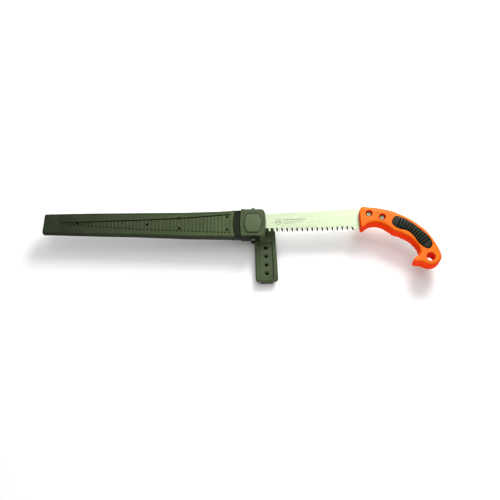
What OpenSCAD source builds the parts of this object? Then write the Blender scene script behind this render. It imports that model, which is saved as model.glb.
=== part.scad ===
// Pruning saw with a fixed blade, half drawn from a hard scabbard with a roller throat and a belt hanger.
// It lies on its back: X runs along the scabbard towards the handle, Y towards the blade's back, Z up.
// Inside the modules X = 0 is the scabbard's mouth; placed() moves everything so that the origin is under
// the middle of the whole saw, on the surface that it lies on.

/* [Saw] */
// Length of the blade from its point to the handle
blade_l = 330; // [310:1:332]
// Thickness of the blade
blade_t = 1.5; // [1.0:0.1:1.5]
// Distance between two teeth
tooth_pitch = 4.15; // [3.5:0.05:6]
// Depth of a tooth
tooth_h = 4.8; // [2.5:0.1:5]
// How far the handle stands from the scabbard's mouth
saw_drawn = 155; // [153:1:170]
// Angle between the saw and the scabbard
saw_tilt = 2.4; // [2.2:0.1:2.5]
// Thickness of the handle
handle_t = 29; // [26:0.5:29]
// Radius of the hanging hole
hang_hole_r = 7; // [4:0.5:7.5]

/* [Scabbard] */
// Thickness of the scabbard at its tip
tip_t = 12; // [12:0.5:14]
// Thickness of the scabbard at its waist
waist_t = 20; // [19:0.5:21]
// Thickness of its walls
wall = 2; // [1.6:0.1:2]
// Distance between two of the cross ribs on its front
rib_pitch = 6.1; // [5:0.1:9]
// Radius of the drain holes
drain_r = 2; // [1:0.1:2.2]

/* [Throat] */
// Thickness of the throat cap
cap_t = 26; // [25:0.5:26]
// Thickness over the two roller covers
cover_t = 32; // [31.5:0.5:33]
// Radius of the rubber rollers
roller_r = 6.6; // [6:0.1:6.6]
// Length of the rubber rollers
roller_l = 26; // [20:1:27]

/* [Hanger] */
// Width of the hanger at its lower end
hanger_w = 37.5; // [34:0.5:40]
// Thickness of the hanger's tray
tray_t = 6; // [5:0.5:6]
// Width of the strap behind it
strap_w = 21; // [16:1:24]
// Height of the gap for a belt
belt_gap = 6; // [5:0.5:8]
// Distance between two of the hanger's holes
hole_pitch = 15; // [12:0.5:16]
// Angle at which the hanger hangs
hanger_tilt = 2.2; // [0:0.1:5]

/* [Hidden] */
$fn = 64;

gap = 0.05;                 // clearance around pins, tongues and inlays
olive = [0.24, 0.29, 0.19];
dark_olive = [0.13, 0.16, 0.11];
orange = [0.95, 0.36, 0.08];
black = [0.09, 0.11, 0.09];
steel = [0.74, 0.76, 0.72];
bright_steel = [0.85, 0.88, 0.82];

// heights
strap_t = 3;
tray_z = strap_t + belt_gap;
tray_top = tray_z + tray_t;
washer_t = 0.5;
tongue_z = tray_top + washer_t;
tongue_t = 4;
blade_z = tongue_z + tongue_t + cap_t / 2 + 2;

// the middle of the whole saw, seen from the mouth
mid_x = -40.18;
mid_y = -32.18;

module placed() {
    translate([-mid_x, -mid_y, 0]) children();
}

// ---- arcs, and smooth curves through a few points ----
function arc(centre, r, from, to, steps) = [
    for (i = [0:steps])
        let (a = from + (to - from) * i / steps) centre + r * [cos(a), sin(a)]
];

function curve_point(a, b, c, d, t) =
    (2 * b + (c - a) * t + (2 * a - 5 * b + 4 * c - d) * t * t + (3 * b - a - 3 * c + d) * t * t * t) / 2;

function smooth_loop(p, steps) = [
    for (i = [0:len(p) - 1])
        for (k = [0:steps - 1])
            curve_point(p[(i + len(p) - 1) % len(p)], p[i], p[(i + 1) % len(p)], p[(i + 2) % len(p)], k / steps)
];

// moves a clockwise loop inwards
function inset_loop(p, d) = [
    for (i = [0:len(p) - 1])
        let (a = p[(i + len(p) - 1) % len(p)], b = p[(i + 1) % len(p)], t = (b - a) / norm(b - a))
            p[i] + d * [t[1], -t[0]]
];

function smooth_line(p, steps) = concat([
    for (i = [0:len(p) - 2])
        for (k = [0:steps - 1])
            curve_point(p[max(i - 1, 0)], p[i], p[i + 1], p[min(i + 2, len(p) - 1)], k / steps)
], [p[len(p) - 1]]);

// ---- the saw, along its own axis from the handle's front (0) to the blade's point (negative) ----
saw_origin = [saw_drawn, 10];
handle_half = handle_t / 2;
bolt_at = [[16.1, 4], [37.5, -2.9]];
hang_hole_at = [110.4, -75.4];
handle_screw_at = [99.5, -71];
bolt_recess_r = 5.4;
bolt_head_z = 7;            // floor of the bolts' recesses, above the blade's plane
bolt_head_t = 2.7;
bolt_head_r = 3.4;
bolt_r = 2.5;
nut_r = 4.2;
pocket = 2.2;               // depth of the inlays' pockets
proud = 0.8;                // how far an inlay stands out of its pocket

back_points = [[3, 18], [-50, 16.9], [-100, 16.0], [-200, 15.2], [-blade_l + 14, 13.5]];
teeth_points = [[-blade_l + 2, -3], [-260, -8.4], [-200, -13.2], [-155, -16.4], [-110, -18.1], [-60, -19.1], [0, -18.9]];
first_tooth = -blade_l + 5;
tooth_count = floor((blade_l - 12) / tooth_pitch);
tang_points = [[-6, -9], [44, -11.5], [50, -7.5], [48, 2], [40, 5.5], [-6, 12.5]];

handle_points = [
    [0.4, 0], [1, 12], [3.4, 16.8], [9, 18], [28, 16], [48, 10.8], [62, 5.8], [82, -5], [100, -19.2],
    [111, -31], [119.5, -44.8], [126.3, -61.8], [129.2, -73], [125.3, -81.2], [119, -86.4], [112.5, -89.3],
    [103.5, -88], [94.5, -83.5], [87.5, -81.6], [83.8, -78.5], [85.5, -75.2], [90.5, -71.5], [94, -65.5],
    [91.5, -56.5], [85.5, -47.5], [79.5, -41], [70, -35.2], [62, -30.8], [55.5, -28.8], [46, -21.5],
    [36.5, -15], [27, -12.2], [17, -13], [11, -15.4], [6.4, -18.6], [2.6, -18.9], [0.8, -14]
];
inlay_points = [
    [52.6, -13.5], [55.8, -6.7], [61.5, -3.3], [72.5, -7.8], [83.3, -14.8], [93.8, -24], [104.3, -34],
    [111.6, -43], [114.6, -53], [110.3, -60.4], [103.1, -59.8], [93.5, -51.4], [87.5, -41], [80.7, -32.4],
    [73, -27.6], [64.5, -25.3], [56.1, -20.2]
];
inlay_ribs = 11;
// half thickness of the handle along its length
handle_side = [[0, handle_half - 1.3], [14, handle_half], [112, handle_half], [131, handle_half - 2.5]];

module saw_frame() {
    placed()
        translate([saw_origin[0], saw_origin[1], blade_z])
            rotate([0, 0, saw_tilt]) children();
}

module saw_blade() {
    edge = smooth_line(teeth_points, 6);
    teeth = [
        for (i = [0:tooth_count - 1])
            for (part = [0, 1])
                let (s = first_tooth + (i + part * 0.56) * tooth_pitch)
                    [s, lookup(s, edge) + (part == 0 ? tooth_h : 0)]
    ];
    outline = concat(
        smooth_line(back_points, 4),
        [[-blade_l + 3, 9], [-blade_l, 2]],
        teeth,
        [[-4, -18.4], [3, -15]]
    );
    color(bright_steel)
        saw_frame()
            difference() {
                union() {
                    translate([0, 0, -blade_t / 2]) linear_extrude(blade_t) polygon(outline);
                    translate([0, 0, -blade_t / 2]) linear_extrude(blade_t) polygon(tang_points);
                }
                for (p = bolt_at)
                    translate([p[0], p[1], -blade_t]) cylinder(h = 2 * blade_t, r = bolt_r + gap);
            }
}

module handle_block() {
    intersection() {
        linear_extrude(handle_half) polygon(smooth_loop(handle_points, 4));
        translate([0, 60, 0]) rotate([90, 0, 0]) linear_extrude(200)
            polygon(concat([[131, -1], [-1, -1], [-1, handle_half - 1.3]], handle_side));
    }
}

// one half of the handle, its inner face on the blade's plane
module handle_half_shell(screw_depth) {
    difference() {
        handle_block();
        // slot for the blade's tang
        translate([0, 0, -1]) linear_extrude(1 + blade_t / 2 + gap)
            polygon([
                [-3, -22], [3.2, -22], [3.2, -10.3], [44.5, -12], [50.4, -7.8], [48.5, 2.6],
                [40.6, 6.2], [3.2, 12.4], [3.2, 21], [-3, 21]
            ]);
        translate([0, 0, handle_half - pocket]) linear_extrude(pocket + 1)
            polygon(smooth_loop(inlay_points, 4));
        for (p = bolt_at)
            translate([p[0], p[1], 0]) {
                translate([0, 0, -1]) cylinder(h = handle_t, r = bolt_r + gap);
                translate([0, 0, bolt_head_z]) cylinder(h = handle_t, r = bolt_recess_r);
            }
        translate([hang_hole_at[0], hang_hole_at[1], -1]) cylinder(h = handle_t, r = hang_hole_r);
        translate([handle_screw_at[0], handle_screw_at[1], -1])
            cylinder(h = 1 + screw_depth, r = 1.5 + gap);
    }
}

module handle_front_shell() {
    color(orange) saw_frame() handle_half_shell(9);
}

module handle_back_shell() {
    color(orange)
        saw_frame()
            mirror([0, 0, 1])
                difference() {
                    handle_half_shell(handle_t);
                    translate([handle_screw_at[0], handle_screw_at[1], 8]) cylinder(h = handle_t, r = 3.2);
                }
}

module handle_screw() {
    color(steel)
        saw_frame()
            translate([handle_screw_at[0], handle_screw_at[1], 0]) {
                translate([0, 0, -8 - gap]) cylinder(h = 8 + 8.8, r = 1.5);
                difference() {
                    translate([0, 0, -10.4]) cylinder(h = 2.4 - gap, r = 3);
                    translate([0, 0, -10.5]) cylinder(h = 1.4, r = 1.3, $fn = 6);
                }
            }
}

// ribbed rubber inlay: a smooth dome in front, then cross ribs that follow the bend of the grip
module grip_inlay() {
    inner = inset_loop(smooth_loop(inlay_points, 4), gap);
    difference() {
        translate([0, 0, handle_half - pocket + gap])
            linear_extrude(pocket + proud - gap) polygon(inner);
        for (i = [0:inlay_ribs - 1])
            let (s = i / (inlay_ribs - 1))
                translate([66 + 43 * s, -13 - 42 * s + 12 * s * (1 - s) + 2, handle_half + proud])
                    rotate([0, 0, -34 - 34 * s])
                        translate([-0.7, -6.2, -1]) cube([1.4, 12.4, 2]);
    }
}

module grip_inlay_front() {
    color(black) saw_frame() grip_inlay();
}

module grip_inlay_back() {
    color(black) saw_frame() mirror([0, 0, 1]) grip_inlay();
}

module blade_bolts() {
    color(steel)
        saw_frame()
            for (p = bolt_at)
                translate([p[0], p[1], 0]) {
                    translate([0, 0, -bolt_head_z - 3]) cylinder(h = 2 * bolt_head_z + 3 + gap, r = bolt_r);
                    difference() {
                        translate([0, 0, bolt_head_z + gap]) cylinder(h = bolt_head_t, r = bolt_head_r);
                        translate([0, 0, bolt_head_z + 1.2]) cylinder(h = 2, r = 1.6, $fn = 6);
                    }
                }
}

module blade_nuts() {
    color(steel)
        saw_frame()
            for (p = bolt_at)
                translate([p[0], p[1], -bolt_head_z - gap - 3])
                    difference() {
                        cylinder(h = 3, r = nut_r, $fn = 6);
                        translate([0, 0, -1]) cylinder(h = 5, r = bolt_r + gap);
                    }
}

// ---- the scabbard ----
tip_x = -369;
waist_x = -53;
top_edge = [[-364, 17.4], [-289, 18.5], [-210, 18.8], [-131, 19], [-78, 20.5], [-45, 22.3]];
low_edge = [[-369, -16.6], [-289, -18.6], [-210, -20.2], [-131, -23.1], [-78, -23.8], [-45, -24.5]];
waist_bow_r = 82;           // the shells end in a hollow arc
waist_bow_x = waist_x + waist_bow_r;
cap_bow_r = 116;            // and the cap starts with a swelling one
cap_x = -42.6;
cap_bow_x = cap_x + cap_bow_r;
neck_x = -28;
neck_half = 8;
neck_top = 21;
neck_low = -21.4;
neck_wall = 1.1;            // over the blade's back, where the room is short
screw_at = [[-356, 0], [-250, 14.6], [-165, 16.1]];
drain_at = [[-310, 0.4], [-195, -2.2], [-142, 8.6], [-141.5, -9.5], [-63, 9.8], [-63.2, -12]];

function shell_half(x) = tip_t / 2 + (waist_t - tip_t) / 2 * (x - tip_x) / (waist_x - tip_x);

function shell_outline(inset) = concat(
    [[tip_x + 1.5 + inset, -14 + inset], [tip_x + 3.5 + inset, 14.5 - inset]],
    [for (p = top_edge) [max(p[0], tip_x + 6.5 + inset), p[1] - inset]],
    [for (i = [len(low_edge) - 1:-1:0]) [max(low_edge[i][0], tip_x + 3 + inset), low_edge[i][1] + inset]]
);

// a solid with the scabbard's outline, thinner towards its tip, from the blade's plane outwards
module shell_solid(inset, end_x) {
    intersection() {
        linear_extrude(waist_t) polygon(shell_outline(inset));
        translate([0, 60, 0]) rotate([90, 0, 0]) linear_extrude(120)
            polygon([
                [tip_x - 1, -1], [end_x, -1],
                [end_x, shell_half(end_x) - inset], [tip_x - 1, shell_half(tip_x - 1) - inset]
            ]);
    }
}

// wedge-shaped field of cross ribs: it opens from a point near the tip to nearly the full width
field_top = [[-339, 1.6], [-223, 4.8], [-147, 7.9], [-110, 10.3], [-58, 14.4]];
field_low = [[-58, -17.7], [-116, -15.1], [-194, -12], [-253, -7.9], [-306, -3.1]];
field_depth = 1.1;
rib_count = floor(266 / rib_pitch);

module rib_slots() {
    intersection() {
        linear_extrude(waist_t) polygon(concat(field_top, field_low));
        for (i = [0:rib_count])
            translate([-58 - rib_pitch * i - rib_pitch * 0.55, -22, 0])
                cube([rib_pitch * 0.55, 44, waist_t]);
    }
}

module scabbard_half() {
    difference() {
        union() {
            difference() {
                shell_solid(0, -45);
                translate([waist_bow_x, -2, -1]) cylinder(h = waist_t, r = waist_bow_r, $fn = 128);
            }
            translate([-62, neck_low, 0]) cube([62 + neck_x, neck_top - neck_low, neck_half]);
        }
        difference() {
            translate([0, 0, -1]) shell_solid(wall, -55);
            for (p = screw_at) translate([p[0], p[1], -2]) cylinder(h = waist_t, r = 3);
        }
        translate([-62, neck_low + wall, -1])
            cube([63 + neck_x, neck_top - neck_low - wall - neck_wall, neck_half - wall + 1]);
    }
}

module scabbard_front_shell() {
    color(olive)
        placed()
            translate([0, 0, blade_z])
                difference() {
                    scabbard_half();
                    // the slots are cut into the sloping face
                    difference() {
                        rib_slots();
                        translate([0, 60, 0]) rotate([90, 0, 0]) linear_extrude(120)
                            polygon([
                                [tip_x, -1], [0, -1],
                                [0, shell_half(0) - field_depth], [tip_x, shell_half(tip_x) - field_depth]
                            ]);
                    }
                    for (p = drain_at) translate([p[0], p[1], 1]) cylinder(h = waist_t, r = drain_r);
                    for (p = screw_at) translate([p[0], p[1], -1]) cylinder(h = 1 + 4.2, r = 1.25 + gap);
                }
}

module scabbard_back_shell() {
    color(olive)
        placed()
            translate([0, 0, blade_z])
                mirror([0, 0, 1])
                    difference() {
                        scabbard_half();
                        for (p = screw_at)
                            translate([p[0], p[1], -1]) {
                                cylinder(h = waist_t, r = 1.25 + gap);
                                translate([0, 0, shell_half(p[0]) - 1.7]) cylinder(h = waist_t, r = 2.6);
                            }
                    }
}

module countersunk_screw(shank_r, head_r, head_t, length) {
    difference() {
        union() {
            cylinder(h = length, r = shank_r);
            cylinder(h = head_t, r = head_r);
        }
        translate([0, 0, -1]) cylinder(h = 1 + head_t * 0.6, r = head_r * 0.42, $fn = 6);
    }
}

module shell_screws() {
    color(steel)
        placed()
            for (p = screw_at)
                translate([p[0], p[1], blade_z - shell_half(p[0]) + 0.15])
                    countersunk_screw(1.25, 2.5, 1.4, shell_half(p[0]) + 3.8);
}

module waist_band() {
    color(dark_olive)
        placed()
            translate([0, 0, blade_z])
                difference() {
                    intersection() {
                        translate([-58, -24.4, -9.2]) cube([20, 46.8, 18.4]);
                        translate([waist_bow_x, -2, -20]) cylinder(h = 40, r = waist_bow_r - gap, $fn = 128);
                    }
                    translate([cap_bow_x, 0, -20]) cylinder(h = 40, r = cap_bow_r + gap, $fn = 128);
                    translate([-70, neck_low - gap, -neck_half - gap])
                        cube([60, neck_top - neck_low + 2 * gap, 2 * (neck_half + gap)]);
                }
}

// ---- the throat ----
cap_half = cap_t / 2;
cap_top = 24;
cap_low = -24.8;
cap_wall = 2.2;
mouth_x = 0.8;
mouth_bow_r = 95;
cap_corner = 7;
axle_x = -20.1;
axle_z = roller_r + blade_t / 2 + gap;
axle_r = 2;
roller_y = -1.9;            // middle of the rollers
cap_screw_at = [[-35, 22.4], [-35, -23], [-7, -21.1]];
chamber_r = roller_r + 0.4;
cover_seat = 1.2;           // how deep the roller cover sits in the cap
pivot_at = [-0.8, 1];
tongue_r = 8;
pivot_r = 2.5;

module cap_outline() {
    intersection() {
        union() {
            translate([-46, cap_low]) square([40, cap_top - cap_low]);
            translate([-12, cap_low + cap_corner]) square([14, cap_top - cap_low - 2 * cap_corner]);
            for (y = [cap_low + cap_corner, cap_top - cap_corner])
                translate([mouth_x - cap_corner, y]) circle(r = cap_corner);
        }
        translate([cap_bow_x, 0]) circle(r = cap_bow_r, $fn = 128);
        translate([mouth_x - mouth_bow_r, 2]) circle(r = mouth_bow_r, $fn = 128);
    }
}

// barrel-shaped outline of the roller cover; grow makes its seat larger
module cover_outline(grow) {
    intersection() {
        translate([-36 - grow, -17.8 - grow]) square([30 + 2 * grow, 31.8 + 2 * grow]);
        translate([-34.6 + 45 - grow, -1.9]) circle(r = 45, $fn = 128);
        translate([-6.8 - 45 + grow, -1.9]) circle(r = 45, $fn = 128);
    }
}

// room for a roller and its axle, open towards the blade
module roller_chamber() {
    translate([axle_x - chamber_r, roller_y - roller_l / 2 - 0.6, -1])
        cube([2 * chamber_r, roller_l + 1.2, axle_z + 1]);
    translate([axle_x, roller_y - roller_l / 2 - 0.6, axle_z])
        rotate([-90, 0, 0]) cylinder(h = roller_l + 1.2, r = chamber_r);
    translate([axle_x, -60, axle_z]) rotate([-90, 0, 0]) cylinder(h = 120, r = axle_r + gap);
}

module cap_half_shell(raised) {
    difference() {
        union() {
            linear_extrude(cap_half) cap_outline();
            linear_extrude(cap_half + raised) cover_outline(0);
        }
        // room for the neck
        translate([-60, neck_low - gap, -1])
            cube([60 + neck_x + gap, neck_top - neck_low + 2 * gap, 1 + neck_half + gap]);
        roller_chamber();
        // way for the blade
        translate([-30, -18.6, -1]) cube([40, 18.6 + 21.2, 1 + 3]);
        translate([-16, -18.6, -1]) cube([40, 18.6 + 22.4, 1 + 3]);
    }
}

module throat_cap_front() {
    color(olive)
        placed()
            translate([0, 0, blade_z])
                difference() {
                    cap_half_shell(0);
                    translate([0, 0, cap_half - cover_seat]) linear_extrude(3) cover_outline(gap);
                    for (p = cap_screw_at)
                        translate([p[0], p[1], -1]) cylinder(h = 1 + 9, r = 0.9 + gap);
                }
}

module throat_cap_back() {
    color(olive)
        placed()
            difference() {
                union() {
                    translate([0, 0, blade_z])
                        mirror([0, 0, 1])
                            difference() {
                                cap_half_shell(cover_t / 2 - cap_half);
                                for (p = cap_screw_at)
                                    translate([p[0], p[1], -1]) {
                                        cylinder(h = cap_t, r = 0.9 + gap);
                                        translate([0, 0, cap_half]) cylinder(h = 5, r = 1.45);
                                    }
                            }
                    // tongue that carries the hanger's pivot, and its root
                    translate([pivot_at[0], pivot_at[1], tongue_z]) cylinder(h = tongue_t, r = tongue_r);
                    translate([-20, pivot_at[1] - tongue_r, tongue_z])
                        cube([20 + pivot_at[0], 2 * tongue_r, tongue_t]);
                    translate([-12, pivot_at[1] - tongue_r, tongue_z])
                        cube([4, 2 * tongue_r, tongue_t + 3]);
                }
                translate([pivot_at[0], pivot_at[1], 0]) cylinder(h = 30, r = pivot_r + gap);
                translate([pivot_at[0], pivot_at[1], tongue_z + 1.5])
                    cylinder(h = 10, r = 5 + gap, $fn = 6);
            }
}

module roller_cover() {
    color(olive)
        placed()
            translate([0, 0, blade_z])
                difference() {
                    translate([0, 0, cap_half - cover_seat + gap])
                        linear_extrude(cover_t / 2 - cap_half + cover_seat - gap) cover_outline(0);
                    roller_chamber();
                }
}

module cap_screws() {
    color(steel)
        placed()
            for (p = cap_screw_at)
                translate([p[0], p[1], blade_z - cap_half + 0.1])
                    countersunk_screw(0.9, 1.4, 0.85, cap_half + 8.5);
}

axle_top = 27;
axle_low = -29.4;
axle_head_r = 2.7;
axle_cap_r = 3.2;

module roller_axle() {
    translate([axle_x, axle_low, axle_z]) rotate([-90, 0, 0]) {
        cylinder(h = axle_top - axle_low - 1, r = axle_r);
        translate([0, 0, cap_top + gap - axle_low])
            cylinder(h = axle_top - cap_top - gap, r = axle_head_r);
    }
}

module roller_axle_front() {
    color(steel) placed() translate([0, 0, blade_z]) roller_axle();
}

module roller_axle_back() {
    color(steel) placed() translate([0, 0, blade_z]) mirror([0, 0, 1]) roller_axle();
}

module axle_caps() {
    color(dark_olive)
        placed()
            for (side = [-1, 1])
                translate([axle_x, cap_low - gap, blade_z + side * axle_z])
                    rotate([90, 0, 0])
                        difference() {
                            cylinder(h = 5.4, r = axle_cap_r);
                            translate([0, 0, -1]) cylinder(h = 1 + 4.7, r = axle_r + gap);
                        }
}

module roller_core(side) {
    placed()
        translate([axle_x, roller_y - roller_l / 2, blade_z + side * axle_z])
            rotate([-90, 0, 0])
                difference() {
                    cylinder(h = roller_l, r = 4);
                    translate([0, 0, -1]) cylinder(h = roller_l + 2, r = axle_r + gap);
                }
}

module roller_rubber(side) {
    placed()
        translate([axle_x, roller_y - roller_l / 2, blade_z + side * axle_z])
            rotate([-90, 0, 0])
                difference() {
                    cylinder(h = roller_l, r = roller_r);
                    translate([0, 0, -1]) cylinder(h = roller_l + 2, r = 4 + 0.01);
                }
}

module roller_front_core() {
    color(steel) roller_core(1);
}

module roller_front_rubber() {
    color(black) roller_rubber(1);
}

module roller_back_core() {
    color(steel) roller_core(-1);
}

module roller_back_rubber() {
    color(black) roller_rubber(-1);
}

// ---- the hanger, hanging along -Y from its pivot ----
hanger_l = 93.3;
hanger_head_r = 17.2;
hanger_corner = 6;
tray_low = -89.3;
tray_high = -24.4;
tray_half = 12;
tray_floor = 2;
first_hole_y = -33.3;
hanger_hole_r = 2.5;
foot_high = -18.5;
foot_low = -25.5;
hook_y = -91.6;
strap_screw_x = 6;
strap_screw_y = -21.2;

module hanger_frame() {
    placed() translate([pivot_at[0], pivot_at[1], 0]) rotate([0, 0, hanger_tilt]) children();
}

module belt_hanger() {
    low_half = hanger_w / 2;
    color(olive)
        hanger_frame()
            difference() {
                translate([0, 0, tray_z]) linear_extrude(tray_t)
                    polygon(concat(
                        arc([0, 0], hanger_head_r, 0, 180, 24),
                        arc([-low_half + hanger_corner, hanger_corner - hanger_l], hanger_corner, 180, 270, 8),
                        arc([low_half - hanger_corner, hanger_corner - hanger_l], hanger_corner, 270, 360, 8)
                    ));
                // tray
                translate([-tray_half, tray_low, tray_z + tray_floor])
                    cube([2 * tray_half, tray_high - tray_low, tray_t]);
                for (i = [0:3])
                    translate([0, first_hole_y - hole_pitch * i, 0]) cylinder(h = 30, r = hanger_hole_r);
                cylinder(h = 30, r = pivot_r + gap);
                // pilot holes of the strap's screws, and the pocket of its hook
                for (side = [-1, 1])
                    translate([side * strap_screw_x, strap_screw_y, 0])
                        cylinder(h = tray_z + 4.5, r = 1.25 + gap);
                translate([-8.1, hook_y - 0.6, tray_z - 1]) cube([16.2, 1.7, 1 + 3.3]);
            }
}

module belt_strap() {
    color(dark_olive)
        hanger_frame()
            difference() {
                union() {
                    translate([-strap_w / 2, -hanger_l + 0.4, 0])
                        cube([strap_w, hanger_l - 0.4 + foot_high, strap_t]);
                    translate([-strap_w / 2, foot_low, 0])
                        cube([strap_w, foot_high - foot_low, tray_z - gap]);
                    translate([-strap_w / 2, -hanger_l + 0.4, 0]) cube([strap_w, 4.6, tray_z - gap]);
                    translate([-8, hook_y - 0.5, 1]) cube([16, 1.5, tray_z + 2]);
                }
                for (side = [-1, 1])
                    translate([side * strap_screw_x, strap_screw_y, -1]) {
                        cylinder(h = 30, r = 1.25 + gap);
                        cylinder(h = 1 + 2.2, r = 2.7);
                    }
            }
}

module strap_screws() {
    color(steel)
        hanger_frame()
            for (side = [-1, 1])
                translate([side * strap_screw_x, strap_screw_y, 0.7])
                    countersunk_screw(1.25, 2.6, 1.45, tray_z + 3.5);
}

module hanger_pivot_bolt() {
    color(steel)
        placed()
            translate([pivot_at[0], pivot_at[1], 0])
                difference() {
                    union() {
                        translate([0, 0, tray_z - 2.6]) cylinder(h = 2.6 - gap, r = 5.2);
                        translate([0, 0, tray_z - 1]) cylinder(h = tongue_z + 3.6 - tray_z + 1, r = pivot_r);
                    }
                    cylinder(h = tray_z - 1.2, r = 1.7, $fn = 6);
                }
}

module hanger_pivot_washer() {
    color(steel)
        placed()
            translate([pivot_at[0], pivot_at[1], tray_top + 0.02])
                difference() {
                    cylinder(h = washer_t - 0.04, r = 6);
                    translate([0, 0, -1]) cylinder(h = 3, r = pivot_r + gap);
                }
}

module hanger_pivot_nut() {
    color(steel)
        placed()
            translate([pivot_at[0], pivot_at[1], tongue_z + 1.5 + gap])
                difference() {
                    cylinder(h = 2.2, r = 5 - gap, $fn = 6);
                    translate([0, 0, -1]) cylinder(h = 5, r = pivot_r + gap);
                }
}

scabbard_front_shell();
scabbard_back_shell();
shell_screws();
waist_band();
throat_cap_front();
throat_cap_back();
cap_screws();
roller_cover();
roller_axle_front();
roller_axle_back();
axle_caps();
roller_front_core();
roller_front_rubber();
roller_back_core();
roller_back_rubber();
hanger_pivot_bolt();
hanger_pivot_washer();
hanger_pivot_nut();
belt_hanger();
belt_strap();
strap_screws();
saw_blade();
handle_front_shell();
handle_back_shell();
grip_inlay_front();
grip_inlay_back();
blade_bolts();
blade_nuts();
handle_screw();
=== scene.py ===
import math

import bmesh
import bpy
from mathutils import Matrix, Vector


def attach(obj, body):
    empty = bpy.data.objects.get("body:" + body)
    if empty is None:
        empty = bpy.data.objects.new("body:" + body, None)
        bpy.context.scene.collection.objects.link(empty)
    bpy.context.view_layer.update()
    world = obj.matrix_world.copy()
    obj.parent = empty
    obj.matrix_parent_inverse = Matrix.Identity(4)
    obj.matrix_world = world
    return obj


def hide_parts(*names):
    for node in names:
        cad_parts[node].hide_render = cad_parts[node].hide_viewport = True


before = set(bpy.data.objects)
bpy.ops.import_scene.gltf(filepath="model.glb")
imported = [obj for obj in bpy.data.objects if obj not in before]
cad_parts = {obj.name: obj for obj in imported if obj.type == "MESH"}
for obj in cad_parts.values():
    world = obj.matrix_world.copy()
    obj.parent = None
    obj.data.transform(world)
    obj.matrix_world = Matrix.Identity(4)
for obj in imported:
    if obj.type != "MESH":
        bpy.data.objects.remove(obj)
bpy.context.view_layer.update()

scene = bpy.context.scene
scene.view_settings.view_transform = "Standard"

# ---------- sizes, in millimetres
MID = (-40.18, -32.18)        # middle of the whole saw, seen from the scabbard's mouth
BLADE_Z = 34.5                # height of the blade's plane
SAW_AT = (155.0, 10.0)        # front of the handle
SAW_TILT = 2.4
PIVOT_AT = (-0.8, 1.0)
HANGER_TILT = 2.2


def frame_matrix(x, y, z, turn=0.0, flip=False):
    """From millimetres in a part's own frame to metres in the row frame."""
    scale = Matrix.Diagonal((0.001, 0.001, 0.001, 1.0))
    place = Matrix.Translation((x - MID[0], y - MID[1], z))
    spin = Matrix.Rotation(math.radians(turn), 4, "Z")
    mirror = Matrix.Diagonal((1.0, 1.0, -1.0 if flip else 1.0, 1.0))
    return scale @ place @ spin @ mirror


MOUTH = frame_matrix(0, 0, BLADE_Z)
MOUTH_BACK = frame_matrix(0, 0, BLADE_Z, 0, True)
SAW = frame_matrix(SAW_AT[0], SAW_AT[1], BLADE_Z, SAW_TILT)
SAW_BACK = frame_matrix(SAW_AT[0], SAW_AT[1], BLADE_Z, SAW_TILT, True)
HANG = frame_matrix(PIVOT_AT[0], PIVOT_AT[1], 0, HANGER_TILT)


# ---------- plane curves
def curve(points, steps, closed=False):
    """Smooth curve through a few points."""
    n = len(points)
    out = []
    for i in range(n if closed else n - 1):
        if closed:
            a, b, c, d = (points[(i + k) % n] for k in (-1, 0, 1, 2))
        else:
            a, b, c, d = (points[min(max(i + k, 0), n - 1)] for k in (-1, 0, 1, 2))
        for k in range(steps):
            t = k / steps
            out.append(tuple(
                (2 * q + (r - p) * t + (2 * p - 5 * q + 4 * r - s) * t * t
                 + (3 * q - p - 3 * r + s) * t ** 3) / 2
                for p, q, r, s in zip(a, b, c, d)))
    if not closed:
        out.append(tuple(points[-1]))
    return out


def even(points, spacing, closed=True):
    """The same line with evenly spaced points."""
    pts = list(points) + ([points[0]] if closed else [])
    along = [0.0]
    for a, b in zip(pts, pts[1:]):
        along.append(along[-1] + math.dist(a, b))
    count = max(3, round(along[-1] / spacing))
    out, k = [], 0
    for i in range(count if closed else count + 1):
        want = along[-1] * i / count
        while k < len(pts) - 2 and along[k + 1] < want:
            k += 1
        f = (want - along[k]) / max(along[k + 1] - along[k], 1e-9)
        out.append((pts[k][0] + (pts[k + 1][0] - pts[k][0]) * f, pts[k][1] + (pts[k + 1][1] - pts[k][1]) * f))
    return out


def arc(cx, cy, r, start, end, steps):
    """Points on an arc, between two angles in degrees."""
    out = []
    for i in range(steps + 1):
        a = math.radians(start + (end - start) * i / steps)
        out.append((cx + r * math.cos(a), cy + r * math.sin(a)))
    return out


def area(loop):
    return sum(a[0] * b[1] - b[0] * a[1] for a, b in zip(loop, loop[1:] + loop[:1])) / 2


def anticlockwise(loop):
    return list(loop) if area(list(loop)) > 0 else list(loop)[::-1]


def outward(loop, spread=1):
    """Unit normals of an anticlockwise loop, pointing out."""
    n = len(loop)
    out = []
    for i in range(n):
        a, b = loop[(i - spread) % n], loop[(i + spread) % n]
        dx, dy = b[0] - a[0], b[1] - a[1]
        length = math.hypot(dx, dy) or 1.0
        out.append((dy / length, -dx / length))
    return out


def steadied(values, reach, low=False):
    """Running mean round a loop; with low, the running minimum."""
    n = len(values)
    if low:
        return [min(values[(i + k) % n] for k in range(-reach, reach + 1)) for i in range(n)]
    return [sum(values[(i + k) % n] for k in range(-reach, reach + 1)) / (2 * reach + 1) for i in range(n)]


def room_inside(loop, normals):
    """At each point, the radius of the largest circle that touches the loop there and fits inside it."""
    out = []
    for (x, y), (nx, ny) in zip(loop, normals):
        best = 1e3
        for u, v in loop:
            dx, dy = u - x, v - y
            depth = -(nx * dx + ny * dy)
            if depth > 1e-4:
                best = min(best, (dx * dx + dy * dy) / (2 * depth))
        out.append(best)
    return out


def softened(loop, reach):
    """The loop with its corners rounded off by a running mean."""
    xs = steadied([p[0] for p in loop], reach)
    ys = steadied([p[1] for p in loop], reach)
    return list(zip(xs, ys))


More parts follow.
